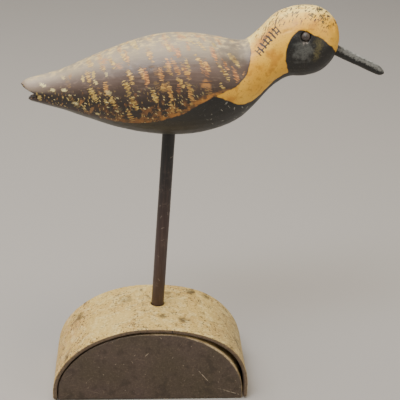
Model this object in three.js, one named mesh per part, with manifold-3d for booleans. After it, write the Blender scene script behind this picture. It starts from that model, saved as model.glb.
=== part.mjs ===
// Shorebird decoy on its stand: a painted, carved wooden plover with a peg bill
// and bead eyes, on a dowel that stands in a half-oval block with a bent strip
// over it. Millimetres, +Z up. +X points the way the bill does, -Y is the side
// that faces the viewer, and the origin is the middle of the block's underside.

import * as THREE from 'three';
import { mergeVertices } from 'three/addons/utils/BufferGeometryUtils.js';
import Module from 'manifold-3d';

// Stand
const BLOCK_HALF_WIDTH = 68.7;
const BLOCK_FOOT_HEIGHT = 6.5;
const BLOCK_ARCH_HEIGHT = 50.7;
const BLOCK_DEPTH = 68;
const BLOCK_EDGE_WEAR = 0.7;
const BAND_DEPTH = 69.5;
const BAND_THICKNESS = 3.2;
const BAND_CLEARANCE = 0.3;
const BAND_END_HEIGHT = 1.5;
const BULGE_FROM_DEG = 92;
const BULGE_TO_DEG = 184;
const FRONT_BULGE = { lift: 4.5, peakDeg: 144 };
const BACK_BULGE = { lift: 2.4, peakDeg: 128 };
// The left shoulder of the block was rasped flat, and the strip follows it
// halfway in front.
const BLOCK_FLAT = { drop: 1.4, fromDeg: 8, fullDeg: 32, untilDeg: 88, toDeg: 115 };
const BAND_FLAT = { drop: 0.7, fromDeg: 8, fullDeg: 30, untilDeg: 60, toDeg: 85 };

// Rod
const ROD_DIAMETER = 9.4;
const ROD_SHOWING = 138.7;
const ROD_LEAN_DEG = 3.2;
const ROD_LEAN_FORWARD_DEG = 2.2;
const ROD_FOOT_X = 5.7;
const ROD_DEPTH_IN_BLOCK = 24;
const ROD_DEPTH_IN_BIRD = 16;
const ROD_CLEARANCE = 0.3;

// Bird
const BIRD_LENGTH = 218;
const BILL_SHOWING = 39;
const BILL_SEAT = 9;
const BILL_ROOT_DIAMETER = 6.9;
const BILL_TIP_DIAMETER = 6.2;
const BILL_ROUNDING = 5;
const BILL_DROOP_DEG = 25.2;
const BILL_CLEARANCE = 0.3;
const EYE_DIAMETER = 6;
const EYE_STANDS_OUT = 1.9;
const EYE_CLEARANCE = 0.3;

// The lines of the carving, as on a boat builder's plan. All are hundredths of
// the bird's length: the place along it from the tail, the heights of back and
// belly over the lowest point of the belly, and half the width.
const PLAN_LENGTH = 100;
const LINES = [
  { at: 0, back: 16.7, belly: 16.7, side: 0 },
  { at: 2, back: 18.4, belly: 12, side: 3.2 },
  { at: 7, back: 19.8, belly: 10.3, side: 4.6 },
  { at: 13, back: 21.5, belly: 8.6, side: 6.6 },
  { at: 21, back: 25.1, belly: 5.9, side: 9.4 },
  { at: 30, back: 28.8, belly: 3, side: 12 },
  { at: 39, back: 31.8, belly: 1.1, side: 13.7 },
  { at: 49, back: 33.3, belly: 0.3, side: 14.2 },
  { at: 59, back: 32.6, belly: 1.6, side: 13.7 },
  { at: 66, back: 31.3, belly: 4, side: 12 },
  { at: 70.5, back: 31, belly: 6.8, side: 10.4 },
  { at: 75, back: 34.8, belly: 11.6, side: 9 },
  { at: 79.5, back: 39.7, belly: 16.8, side: 8.8 },
  { at: 83.5, back: 41.5, belly: 19.6, side: 9.4 },
  { at: 89, back: 42.4, belly: 20.1, side: 9.9 },
  { at: 94, back: 41.6, belly: 21.6, side: 9 },
  { at: 98, back: 38.5, belly: 25.4, side: 6 },
  { at: 100, back: 32, belly: 32, side: 0 },
];
// The body is fullest above its middle, and the head below it.
const BODY_FULLNESS = 0.1;
const HEAD_FULLNESS = -0.06;
const NECK_FROM = 68;
const NECK_TO = 82;
// The hollow that runs from the bill under the brow and past the eye.
const BROW = { at: 90.5, reach: 6.5, angleDeg: 12, spreadDeg: 17, share: 0.06 };
// The notch between wing tips and tail.
const NOTCH = { at: 6.2, height: 13.7, mouth: 3.3, slopeDeg: -4 };
const ROD_PLACE = 46.8;
const EYE_PLACE = { at: 88.3, angleDeg: 19 };
const BILL_PLACE = { at: 98.9, height: 28.25 };

// How finely the solids are faceted
const SEGMENTS_ALONG_BIRD = 68;
const SEGMENTS_ROUND_BIRD = 36;
const SEGMENTS_ALONG_BAND = 56;
const SEGMENTS_ACROSS_BAND = 5;
const SEGMENTS_ROUND_ROD = 24;
const CUT_OVERSHOOT = 2;

const radians = THREE.MathUtils.degToRad;
const wasm = await Module();
wasm.setup();

function solidFrom(geometry) {
  const bare = geometry.clone();
  bare.deleteAttribute('normal');
  bare.deleteAttribute('uv');
  const merged = mergeVertices(bare, 1e-4);
  const vertProperties = new Float32Array(merged.attributes.position.array);
  const triVerts = new Uint32Array(merged.index.array);
  return new wasm.Manifold(new wasm.Mesh({ numProp: 3, vertProperties, triVerts }));
}

function geometryFrom(solid) {
  const mesh = solid.getMesh();
  const geometry = new THREE.BufferGeometry();
  geometry.setAttribute('position', new THREE.BufferAttribute(mesh.vertProperties, 3));
  geometry.setIndex(new THREE.BufferAttribute(mesh.triVerts, 1));
  return geometry;
}

function cutAway(geometry, tools) {
  let solid = solidFrom(geometry);
  for (const tool of tools) {
    solid = solid.subtract(solidFrom(tool));
  }
  return geometryFrom(solid);
}

// A round bar from one point to another.
function barBetween(start, end, diameter) {
  const along = new THREE.Vector3().subVectors(end, start);
  const bar = new THREE.CylinderGeometry(diameter / 2, diameter / 2, along.length(), SEGMENTS_ROUND_ROD);
  const turn = new THREE.Quaternion().setFromUnitVectors(new THREE.Vector3(0, 1, 0), along.clone().normalize());
  bar.applyQuaternion(turn);
  const middle = new THREE.Vector3().addVectors(start, end).multiplyScalar(0.5);
  bar.translate(middle.x, middle.y, middle.z);
  return bar;
}

// A smooth curve through the stations of one line of the plan, at a place given
// as the blank's own angle, so that both ends of the bird close round.
function blankAngle(at) {
  return Math.acos(1 - 2 * at / PLAN_LENGTH);
}

function fairCurve(stations, line) {
  const places = stations.map((station) => blankAngle(station.at));
  const values = stations.map((station) => station[line]);
  const steps = places.slice(1).map((place, i) => place - places[i]);
  const slopes = steps.map((step, i) => (values[i + 1] - values[i]) / step);
  const tangents = values.map((value, i) => {
    if (i === 0) return slopes[0];
    if (i === slopes.length) return slopes[i - 1];
    return (slopes[i - 1] * steps[i] + slopes[i] * steps[i - 1]) / (steps[i - 1] + steps[i]);
  });
  return (place) => {
    let i = places.findIndex((next) => next > place) - 1;
    if (i < 0) i = steps.length - 1;
    const t = THREE.MathUtils.clamp((place - places[i]) / steps[i], 0, 1);
    const late = t * t * (3 - 2 * t);
    const bend = t * (1 - t);
    return values[i] * (1 - late) + values[i + 1] * late
      + steps[i] * bend * ((1 - t) * tangents[i] - t * tangents[i + 1]);
  };
}

const backLine = fairCurve(LINES, 'back');
const bellyLine = fairCurve(LINES, 'belly');
const sideLine = fairCurve(LINES, 'side');
const BIRD_UNIT = BIRD_LENGTH / PLAN_LENGTH;

// A point of the carved surface: place along the bird in hundredths, and the
// angle round it, 0 on its left side, 90 degrees on the back.
function birdSurface(at, angle) {
  const place = blankAngle(at);
  const back = backLine(place);
  const belly = bellyLine(place);
  const towardsHead = THREE.MathUtils.smoothstep(at, NECK_FROM, NECK_TO);
  const fullness = THREE.MathUtils.lerp(BODY_FULLNESS, HEAD_FULLNESS, towardsHead);
  const rise = Math.asin(Math.sin(angle));
  const alongBrow = (at - BROW.at) / BROW.reach;
  const acrossBrow = (rise - radians(BROW.angleDeg)) / radians(BROW.spreadDeg);
  const hollow = BROW.share * Math.exp(-(alongBrow ** 2) - acrossBrow ** 2);
  const side = sideLine(place) * (1 + fullness * Math.sin(angle)) * (1 - hollow);
  const height = (back - belly) / 2;
  return new THREE.Vector3(
    (at - ROD_PLACE) * BIRD_UNIT,
    side * Math.cos(angle) * BIRD_UNIT,
    ((back + belly) / 2 + height * Math.sin(angle)) * BIRD_UNIT,
  );
}

// The stand's curve above its straight foot: a half oval, from the left end at
// 0 degrees over the top to the right end at 180 degrees.
function archPoint(angle, outset) {
  const x = -BLOCK_HALF_WIDTH * Math.cos(angle);
  const rise = BLOCK_ARCH_HEIGHT * Math.sin(angle);
  const outward = new THREE.Vector2(x / BLOCK_HALF_WIDTH ** 2, rise / BLOCK_ARCH_HEIGHT ** 2).normalize();
  return new THREE.Vector2(x + outward.x * outset, BLOCK_FOOT_HEIGHT + rise + outward.y * outset);
}

function flatAt(flat, angle) {
  const rising = THREE.MathUtils.smoothstep(angle, radians(flat.fromDeg), radians(flat.fullDeg));
  const falling = THREE.MathUtils.smoothstep(angle, radians(flat.untilDeg), radians(flat.toDeg));
  return flat.drop * (rising - falling);
}

// The strip has sprung away from the block on the right, most of all in front.
function bandLift(angle, frontness) {
  const peak = radians(THREE.MathUtils.lerp(BACK_BULGE.peakDeg, FRONT_BULGE.peakDeg, frontness));
  const rising = THREE.MathUtils.smoothstep(angle, radians(BULGE_FROM_DEG), peak);
  const falling = THREE.MathUtils.smoothstep(angle, peak, radians(BULGE_TO_DEG));
  const most = THREE.MathUtils.lerp(BACK_BULGE.lift, FRONT_BULGE.lift, frontness ** 1.5);
  return most * (rising - falling);
}

// Where the rod leaves the strip, and the point and direction of its line. Its
// lean brings the bird forward again, over the middle of the block.
function bandTopAt(x) {
  const halfWidth = BLOCK_HALF_WIDTH + BAND_CLEARANCE + BAND_THICKNESS;
  const height = BLOCK_ARCH_HEIGHT + BAND_CLEARANCE + BAND_THICKNESS;
  return BLOCK_FOOT_HEIGHT + height * Math.sqrt(1 - (x / halfWidth) ** 2);
}
const rodDirection = new THREE.Vector3(
  Math.tan(radians(ROD_LEAN_DEG)), -Math.tan(radians(ROD_LEAN_FORWARD_DEG)), 1,
).normalize();
const rodFoot = new THREE.Vector3(ROD_FOOT_X, -ROD_SHOWING * rodDirection.y, bandTopAt(ROD_FOOT_X));
const rodPoint = (distance) => rodFoot.clone().addScaledVector(rodDirection, distance);
const birdPlace = rodPoint(ROD_SHOWING);

function rodHole(from, to) {
  return barBetween(rodPoint(from), rodPoint(to), ROD_DIAMETER + 2 * ROD_CLEARANCE);
}

function blockGeometry() {
  const outline = new THREE.Shape();
  outline.moveTo(-BLOCK_HALF_WIDTH, 0);
  for (let step = 0; step <= SEGMENTS_ALONG_BAND; step += 1) {
    const angle = Math.PI * step / SEGMENTS_ALONG_BAND;
    const point = archPoint(angle, -flatAt(BLOCK_FLAT, angle));
    outline.lineTo(point.x, point.y);
  }
  outline.lineTo(BLOCK_HALF_WIDTH, 0);
  outline.closePath();
  const depthBetweenEdges = BLOCK_DEPTH - 2 * BLOCK_EDGE_WEAR;
  const block = new THREE.ExtrudeGeometry(outline, {
    depth: depthBetweenEdges,
    bevelThickness: BLOCK_EDGE_WEAR,
    bevelSize: BLOCK_EDGE_WEAR,
    bevelOffset: -BLOCK_EDGE_WEAR,
    bevelSegments: 1,
  });
  block.rotateX(Math.PI / 2);
  block.translate(0, depthBetweenEdges / 2, 0);
  return cutAway(block, [rodHole(-ROD_DEPTH_IN_BLOCK - ROD_CLEARANCE, BAND_THICKNESS + BAND_CLEARANCE)]);
}

// The strip is a flat one bent over: its first and last steps run straight
// down the foot, and the steps between them follow the half oval.
function bandGeometry() {
  const strip = new THREE.BoxGeometry(1, 1, 1, SEGMENTS_ALONG_BAND, 1, SEGMENTS_ACROSS_BAND);
  const corner = strip.attributes.position;
  for (let i = 0; i < corner.count; i += 1) {
    const step = Math.round((corner.getX(i) + 0.5) * SEGMENTS_ALONG_BAND);
    const outwards = corner.getY(i) + 0.5;
    const frontness = corner.getZ(i) + 0.5;
    const angle = Math.PI * THREE.MathUtils.clamp((step - 1) / (SEGMENTS_ALONG_BAND - 2), 0, 1);
    const lift = bandLift(angle, frontness) - flatAt(BAND_FLAT, angle) * frontness;
    const point = archPoint(angle, BAND_CLEARANCE + lift + BAND_THICKNESS * outwards);
    if (step === 0 || step === SEGMENTS_ALONG_BAND) point.y = BAND_END_HEIGHT;
    corner.setXYZ(i, point.x, (0.5 - frontness) * BAND_DEPTH, point.y);
  }
  return cutAway(strip, [rodHole(-BAND_THICKNESS - BAND_CLEARANCE - CUT_OVERSHOOT, BAND_THICKNESS)]);
}

function rodGeometry() {
  return barBetween(rodPoint(-ROD_DEPTH_IN_BLOCK), rodPoint(ROD_SHOWING + ROD_DEPTH_IN_BIRD), ROD_DIAMETER);
}

// In the bird's own frame the origin is where the rod enters the belly.
const billDirection = new THREE.Vector3(
  Math.cos(radians(BILL_DROOP_DEG)), 0, -Math.sin(radians(BILL_DROOP_DEG)),
);
const billRoot = new THREE.Vector3(
  (BILL_PLACE.at - ROD_PLACE) * BIRD_UNIT, 0, BILL_PLACE.height * BIRD_UNIT,
);

function billGeometry() {
  const tipRadius = BILL_TIP_DIAMETER / 2;
  const rootRadius = BILL_ROOT_DIAMETER / 2;
  const profile = [new THREE.Vector2(0, -BILL_SEAT), new THREE.Vector2(rootRadius, -BILL_SEAT)];
  profile.push(new THREE.Vector2(rootRadius, 0));
  for (let degrees = 0; degrees <= 90; degrees += 15) {
    const along = BILL_SHOWING - BILL_ROUNDING * (1 - Math.sin(radians(degrees)));
    const radius = degrees === 90 ? 0 : tipRadius * Math.cos(radians(degrees));
    profile.push(new THREE.Vector2(radius, along));
  }
  const bill = new THREE.LatheGeometry(profile, SEGMENTS_ROUND_ROD);
  bill.applyQuaternion(new THREE.Quaternion().setFromUnitVectors(new THREE.Vector3(0, 1, 0), billDirection));
  bill.translate(billRoot.x, billRoot.y, billRoot.z);
  return bill;
}

function billSocket() {
  const start = billRoot.clone().addScaledVector(billDirection, -BILL_SEAT - BILL_CLEARANCE);
  const end = billRoot.clone().addScaledVector(billDirection, BILL_SHOWING);
  return barBetween(start, end, BILL_ROOT_DIAMETER + 2 * BILL_CLEARANCE);
}

// The eye's centre lies below the surface, so that only a cap stands out.
function eyeCentre(sideways) {
  const angle = radians(sideways > 0 ? EYE_PLACE.angleDeg : 180 - EYE_PLACE.angleDeg);
  const surface = birdSurface(EYE_PLACE.at, angle);
  const ahead = birdSurface(EYE_PLACE.at + 1, angle).sub(birdSurface(EYE_PLACE.at - 1, angle));
  const around = birdSurface(EYE_PLACE.at, angle + 0.1).sub(birdSurface(EYE_PLACE.at, angle - 0.1));
  const outward = ahead.cross(around).normalize();
  if (outward.y * sideways < 0) outward.negate();
  return surface.addScaledVector(outward, EYE_STANDS_OUT - EYE_DIAMETER / 2);
}

function eyeGeometry(centre, diameter) {
  const ball = new THREE.SphereGeometry(diameter / 2, 16, 10);
  ball.translate(centre.x, centre.y, centre.z);
  return ball;
}

function notchTool() {
  const depth = (NOTCH.at + CUT_OVERSHOOT) * BIRD_UNIT;
  const wedge = new THREE.Shape();
  wedge.moveTo(0, 0);
  wedge.lineTo(-depth, NOTCH.mouth * BIRD_UNIT);
  wedge.lineTo(-depth, -NOTCH.mouth * BIRD_UNIT);
  wedge.closePath();
  const tool = new THREE.ExtrudeGeometry(wedge, { depth: BIRD_LENGTH / 4, bevelEnabled: false });
  tool.rotateZ(radians(NOTCH.slopeDeg));
  tool.rotateX(Math.PI / 2);
  tool.translate((NOTCH.at - ROD_PLACE) * BIRD_UNIT, BIRD_LENGTH / 8, NOTCH.height * BIRD_UNIT);
  return tool;
}

function birdGeometry() {
  const blank = new THREE.SphereGeometry(1, SEGMENTS_ROUND_BIRD, SEGMENTS_ALONG_BIRD);
  const corner = blank.attributes.position;
  for (let i = 0; i < corner.count; i += 1) {
    const at = PLAN_LENGTH / 2 * (1 - THREE.MathUtils.clamp(corner.getY(i), -1, 1));
    const angle = Math.atan2(corner.getZ(i), corner.getX(i));
    const point = birdSurface(at, angle);
    corner.setXYZ(i, point.x, point.y, point.z);
  }
  const toOwnFrame = birdPlace.clone().negate();
  const socketEnd = ROD_SHOWING + ROD_DEPTH_IN_BIRD + ROD_CLEARANCE;
  const rodSocket = rodHole(ROD_SHOWING - ROD_DIAMETER, socketEnd);
  rodSocket.translate(toOwnFrame.x, toOwnFrame.y, toOwnFrame.z);
  const seatDiameter = EYE_DIAMETER + 2 * EYE_CLEARANCE;
  const eyeSeats = [1, -1].map((sideways) => eyeGeometry(eyeCentre(sideways), seatDiameter));
  return cutAway(blank, [rodSocket, billSocket(), notchTool(), ...eyeSeats]);
}

function paint(color, roughness) {
  return new THREE.MeshStandardMaterial({ color, roughness, metalness: 0 });
}

function piece(name, geometry, material) {
  const mesh = new THREE.Mesh(geometry, material);
  mesh.name = name;
  return mesh;
}

const stand = new THREE.Group();
stand.add(piece('base_block', blockGeometry(), paint('#4a3f33', 0.7)));
stand.add(piece('base_band', bandGeometry(), paint('#c9b78c', 0.75)));
stand.add(piece('support_rod', rodGeometry(), paint('#41362f', 0.55)));

const bird = new THREE.Group();
bird.position.copy(birdPlace);
bird.add(piece('bird_body', birdGeometry(), paint('#5a4a40', 0.5)));
bird.add(piece('bill', billGeometry(), paint('#2b2c2a', 0.5)));
const blackGlass = paint('#3a3630', 0.15);
bird.add(piece('eye_left', eyeGeometry(eyeCentre(1), EYE_DIAMETER), blackGlass));
bird.add(piece('eye_right', eyeGeometry(eyeCentre(-1), EYE_DIAMETER), blackGlass));

const decoy = new THREE.Group();
decoy.add(stand, bird);

export default decoy;
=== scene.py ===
# %% [markdown]
# This lesson dresses a carved and painted shorebird decoy that stands on a dowel
# in a half-oval wooden block with a bent strip over it. The solids come from the
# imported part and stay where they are. Here each one gets a finer skin, with the
# small relief that tools and wear leave, and a procedural finish that is named
# for what the real surface is.

# %% Load the frame
import math

import bmesh
import bpy
import numpy as np
from mathutils import Matrix, Vector, noise


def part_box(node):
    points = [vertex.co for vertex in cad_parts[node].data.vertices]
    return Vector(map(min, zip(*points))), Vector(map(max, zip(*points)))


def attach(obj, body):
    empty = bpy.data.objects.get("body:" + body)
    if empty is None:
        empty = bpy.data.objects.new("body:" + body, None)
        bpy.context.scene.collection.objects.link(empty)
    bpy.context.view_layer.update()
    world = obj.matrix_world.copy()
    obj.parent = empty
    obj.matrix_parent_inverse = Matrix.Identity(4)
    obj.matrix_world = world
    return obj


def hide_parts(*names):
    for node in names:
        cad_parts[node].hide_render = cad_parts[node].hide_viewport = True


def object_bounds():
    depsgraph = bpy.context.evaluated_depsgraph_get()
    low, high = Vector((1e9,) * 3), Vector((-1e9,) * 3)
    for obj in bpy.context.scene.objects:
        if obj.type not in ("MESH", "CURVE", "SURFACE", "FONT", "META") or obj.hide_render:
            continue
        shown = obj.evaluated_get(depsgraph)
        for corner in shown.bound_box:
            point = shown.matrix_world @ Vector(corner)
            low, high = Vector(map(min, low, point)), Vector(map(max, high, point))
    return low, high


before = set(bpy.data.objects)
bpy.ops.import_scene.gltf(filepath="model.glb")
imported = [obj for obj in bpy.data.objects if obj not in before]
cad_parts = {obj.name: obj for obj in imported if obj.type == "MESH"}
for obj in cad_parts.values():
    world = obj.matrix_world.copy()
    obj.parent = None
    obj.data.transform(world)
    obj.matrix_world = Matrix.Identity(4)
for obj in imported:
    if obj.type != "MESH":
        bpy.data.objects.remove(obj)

cad_low, cad_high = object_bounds()
print("CAD box", [round(v * 1000, 1) for v in (*cad_low, *cad_high)], "mm")

# %% [markdown]
# Blender works in metres, but a carver thinks in millimetres, so sizes below are
# millimetres times MM. Colours are written as sRGB hex values, the way a paint
# chart gives them, and one function turns them into the linear light that
# shaders need. One more small function adds a shader node with its settings and
# links, which keeps the recipes below short enough to read.

# %% Units, colours and one node helper
MM = 0.001


def linear(hex_colour):
    """The linear RGBA of an sRGB hex colour."""
    channels = [int(hex_colour[i:i + 2], 16) / 255 for i in (1, 3, 5)]
    light = [c / 12.92 if c <= 0.04045 else ((c + 0.055) / 1.055) ** 2.4 for c in channels]
    return (*light, 1.0)


def add_node(tree, kind, inputs=(), stops=(), **settings):
    """Adds a node. Inputs are values, hex colours, sockets or nodes, in the sockets' order or by name."""
    node = tree.nodes.new("ShaderNode" + kind)
    for name, value in settings.items():
        setattr(node, name, value)
    for name, value in (inputs if isinstance(inputs, dict) else dict(enumerate(inputs))).items():
        if isinstance(value, bpy.types.Node):
            value = next(output for output in value.outputs if output.enabled)
        if isinstance(value, bpy.types.NodeSocket):
            tree.links.new(value, node.inputs[name])
        else:
            node.inputs[name].default_value = linear(value) if isinstance(value, str) else value
    for number, (place, colour) in enumerate(stops):
        elements = node.color_ramp.elements
        element = elements[number] if number < 2 else elements.new(place)
        element.position = place
        element.color = linear(colour)
    return node


# %% [markdown]
# The camera looks down at the decoy's side with a longish lens. Its place, turn
# and lens were fitted to where block, strip and rod lie in the picture, so they
# are plain values here.

# %% Camera
CAMERA_PLACE = Vector((-3.5, -757.9, 485.6)) * MM
CAMERA_PAN_DEG = 3.0
CAMERA_PITCH_DEG = 24.0
CAMERA_ROLL_DEG = 1.0
CAMERA_LENS_MM = 103.5
CAMERA_SENSOR_MM = 36.0
CAMERA_NEAR = 50 * MM

camera_data = bpy.data.cameras.new("camera")
camera_data.lens = CAMERA_LENS_MM
camera_data.sensor_width = CAMERA_SENSOR_MM
camera_data.clip_start = CAMERA_NEAR
camera = bpy.data.objects.new("camera", camera_data)
bpy.context.scene.collection.objects.link(camera)
pan = Matrix.Rotation(-math.radians(CAMERA_PAN_DEG), 4, "Z")
pitch = Matrix.Rotation(math.radians(90 - CAMERA_PITCH_DEG), 4, "X")
roll = Matrix.Rotation(math.radians(CAMERA_ROLL_DEG), 4, "Z")
camera.matrix_world = Matrix.Translation(CAMERA_PLACE) @ pan @ pitch @ roll
bpy.context.scene.camera = camera
print("camera at", [round(v / MM) for v in CAMERA_PLACE], "mm")

# %% [markdown]
# The studio is a flat floor of pale paper. A large soft box overhead puts the
# broad sheen on the bird's back. A second one stands behind, a smaller and cooler
# one in front, and a warm fill on either side. Their places and sizes, and the
# floor's, are in metres.

# %% Floor and lights
FLOOR_SIZE = 9.0

floor_mesh = bpy.data.meshes.new("floor")
bm = bmesh.new()
bmesh.ops.create_grid(bm, x_segments=2, y_segments=2, size=FLOOR_SIZE / 2)
bm.to_mesh(floor_mesh)
bm.free()
floor = bpy.data.objects.new("floor", floor_mesh)
bpy.context.scene.collection.objects.link(floor)

paper = bpy.data.materials.new("pale_backdrop_paper")
paper.use_nodes = True
paper_shader = paper.node_tree.nodes["Principled BSDF"]
paper_shader.inputs["Base Color"].default_value = linear("#a19e99")
paper_shader.inputs["Roughness"].default_value = 0.9
floor_mesh.materials.append(paper)

LIGHTS = {
    "overhead_box": {"place": (-0.25, -0.02, 1.5), "size": 1.8, "watts": 45, "colour": "#fff6ea"},
    "box_behind": {"place": (-0.1, 1.6, 0.9), "size": 1.2, "watts": 3, "colour": "#fff8f0"},
    "window_in_front": {"place": (-0.4, -0.7, 1.4), "size": 0.5, "watts": 12, "colour": "#e9f0ff"},
    "fill_from_right": {"place": (1.3, -1.0, 0.8), "size": 0.9, "watts": 12, "colour": "#fff0dc"},
    "fill_from_left": {"place": (-1.4, -0.8, 0.8), "size": 0.9, "watts": 6, "colour": "#fff0dc"},
}
light_target = (cad_low + cad_high) / 2
for name, light in LIGHTS.items():
    lamp_data = bpy.data.lights.new(name, "AREA")
    lamp_data.size = light["size"]
    lamp_data.energy = light["watts"]
    lamp_data.color = linear(light["colour"])[:3]
    lamp = bpy.data.objects.new(name, lamp_data)
    lamp.location = light["place"]
    lamp.rotation_euler = (light_target - lamp.location).to_track_quat("-Z", "Y").to_euler()
    bpy.context.scene.collection.objects.link(lamp)

world = bpy.data.worlds.new("studio")
world.use_nodes = True
backdrop_light = world.node_tree.nodes["Background"]
backdrop_light.inputs["Color"].default_value = linear("#c9ced6")
backdrop_light.inputs["Strength"].default_value = 0.15
bpy.context.scene.world = world
print(len(LIGHTS), "lights")

# %% [markdown]
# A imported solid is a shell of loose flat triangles. For a finer skin it is copied
# and welded, and a voxel remesh lays an even net of small squares over it, fine
# enough to carry paint edges and tool marks. A few rounds of smoothing then melt
# the flat facets into the round forms of a sanded carving. The nets below give
# each piece its size of square in millimetres and its rounds of smoothing.

# %% Welding and reskinning
WELD_WITHIN = 0.001
NETS = {
    "carved_bird": (0.95, 10),
    "whittled_bill": (0.3, 2),
    "stained_dowel": (0.7, 2),
    "half_oval_block": (0.8, 2),
    "bent_strip": (0.75, 3),
}


def welded_copy(node, name):
    """A new object with the node's triangles joined at their corners, standing for the node."""
    bm = bmesh.new()
    bm.from_mesh(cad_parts[node].data)
    for layer in list(bm.loops.layers.uv.values()):
        bm.loops.layers.uv.remove(layer)
    bmesh.ops.remove_doubles(bm, verts=bm.verts, dist=WELD_WITHIN * MM)
    mesh = bpy.data.meshes.new(name)
    bm.to_mesh(mesh)
    bm.free()
    normals = mesh.attributes.get("custom_normal")
    if normals:
        mesh.attributes.remove(normals)
    piece = bpy.data.objects.new(name, mesh)
    bpy.context.scene.collection.objects.link(piece)
    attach(piece, "root")
    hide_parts(node)
    return piece


def reskin(piece):
    """Lays the piece's net over it as an even skin, and smooths it."""
    square, rounds = NETS[piece.name]
    remesh = piece.modifiers.new("even net", "REMESH")
    remesh.mode = "VOXEL"
    remesh.voxel_size = square * MM
    smooth = piece.modifiers.new("sanded", "SMOOTH")
    smooth.factor = 0.5
    smooth.iterations = rounds
    evaluated = piece.evaluated_get(bpy.context.evaluated_depsgraph_get())
    skin = bpy.data.meshes.new_from_object(evaluated)
    piece.modifiers.clear()
    piece.data = skin
    skin.name = piece.name
    skin.polygons.foreach_set("use_smooth", [True] * len(skin.polygons))
    print(piece.name, len(skin.polygons), "squares")
    return skin


# %% [markdown]
# Tool marks are real relief, so they move the skin itself. A function says how
# far a place stands out, and each corner moves that far along its own normal.
# What a shader needs to know about a place is kept as an attribute, a number or
# a vector for each corner.

# %% Relief and attributes
def relieve(mesh, depth_at):
    """Moves each corner along its normal by depth_at(place in mm), in mm."""
    outward = [corner.normal.copy() for corner in mesh.vertices]
    for corner, normal in zip(mesh.vertices, outward):
        corner.co += normal * depth_at(corner.co / MM) * MM
    mesh.update()


def corner_values(mesh, field):
    """The places or normals of the mesh's corners as rows of three numbers."""
    values = np.zeros(len(mesh.vertices) * 3, np.float32)
    mesh.vertices.foreach_get(field, values)
    return values.reshape(-1, 3).astype(float)


def keep(mesh, name, values):
    """Keeps one number, or one vector, for each corner of the mesh."""
    values = np.asarray(values, np.float32)
    if values.ndim == 1:
        mesh.attributes.new(name, "FLOAT", "POINT").data.foreach_set("value", values)
    else:
        padded = np.zeros((len(values), 3), np.float32)
        padded[:, :values.shape[1]] = values
        mesh.attributes.new(name, "FLOAT_VECTOR", "POINT").data.foreach_set("vector", padded.ravel())


# %% [markdown]
# The bird is one piece of wood, shaped with knife and rasp, sanded, and painted.
# Its skin is remeshed at just under a millimetre. The relief on it is what a hand
# leaves: broad, very shallow flats, and the odd dent.

# %% The bird's skin
bird = welded_copy("bird_body", "carved_bird")
bird_skin = reskin(bird)


def knife_work(place):
    """Broad shallow flats from the knife, and small dents, in mm."""
    flats = noise.noise(place / 16) * 0.22
    rasp = noise.noise(place / 4.5) * 0.07
    dents = max(0.0, noise.noise(place / 6 + Vector((40, 0, 0))) - 0.42) * 1.1
    return flats + rasp - dents - 0.1


relieve(bird_skin, knife_work)

# %% [markdown]
# Paint on a bird follows its body, so it needs a map of its own. The map has the
# share along the bird from tail to forehead, the lift, which is the angle of a
# point above the middle height of the section it lies on, and the way down from
# the ridge of the back in millimetres. It is measured from rings of the skin's own
# corners, taken slice by slice. Fields of paint lie alike on both sides. Loose
# strokes get a map that is moved aside on the left, so that they differ there.

# %% The bird's own map
LEFT_SIDE_SHIFT = 500.0
SLICES = 120
RING_REACH = 1.4

tail_x, forehead_x = (v.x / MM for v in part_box("bird_body"))
bird_length = forehead_x - tail_x
x, y, z = corner_values(bird_skin, "co").T / MM
slices = np.linspace(tail_x + 1, forehead_x - 1, SLICES)
ridge, keel, widest = [], [], []
for middle in slices:
    ring = np.abs(x - middle) < RING_REACH
    ridge.append(z[ring].max())
    keel.append(z[ring].min())
    widest.append(np.abs(y[ring]).max())

ridge_z = np.interp(x, slices, ridge)
keel_z = np.interp(x, slices, keel)
half_height = np.maximum((ridge_z - keel_z) / 2, 0.5)
half_width = np.interp(x, slices, widest)
share = (x - tail_x) / bird_length * 100
lift = np.degrees(np.arcsin(np.clip((z - (ridge_z + keel_z) / 2) / half_height, -1, 1)))
girth_radius = np.sqrt((half_height ** 2 + half_width ** 2) / 2)
along = share / 100 * bird_length
up = np.radians(lift) * girth_radius
down = np.radians(90 - lift) * girth_radius
print("bird", round(bird_length, 1), "mm long, girth radius up to", round(girth_radius.max(), 1), "mm")

# %% [markdown]
# The painter worked from a few edges: where the brown of the back ends behind the
# neck and along the flank, where the buff of head and breast stripe meets the
# black of the breast, and the round outline of the black face. Each edge is a
# short list of places on the bird's map, as share and lift. For each corner of
# the skin its distance to the closed outline is kept as an attribute, so that
# the shader can draw the edge crisply and also roughen it as a brush does.

# %% Paint outlines
NECK_EDGE = [(71.2, 88), (71.4, 74), (71.8, 58), (71.6, 38), (70.4, 20), (67.2, 9), (64, 4.5), (60.5, 0)]
FLANK_EDGE = [(60.5, 0), (57, -6), (53.5, -14), (50.4, -21), (45.7, -28), (40.6, -34), (33, -40),
              (24.9, -44), (12.5, -44), (-5, -44)]
BREAST_EDGE = [(60.5, 0), (62.5, -3), (65.8, -12), (69, -23), (71.3, -30), (74.1, -39), (77, -42),
               (80, -43), (83.6, -44)]
FACE_EDGE = [(83.6, -44), (82.9, -25), (82.3, -8), (82.6, 6), (83.8, 20), (85.9, 29), (88, 28), (89.6, 24),
             (92, 18), (93.8, 12), (95.7, 3), (97.2, -7), (98.1, -20), (98.8, -34), (103, -34)]
FAR_UP = 400.0

girth_of_share = np.sqrt((np.subtract(ridge, keel) ** 2 / 4 + np.square(widest)) / 2)


def on_the_map(places):
    """Places given as share and lift, as millimetres along the bird and up from its middle height."""
    shares, lifts = np.array(places, float).T
    radius = np.interp(shares, (slices - tail_x) / bird_length * 100, girth_of_share)
    return np.stack([shares / 100 * bird_length, np.radians(lifts) * radius], 1)


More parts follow.
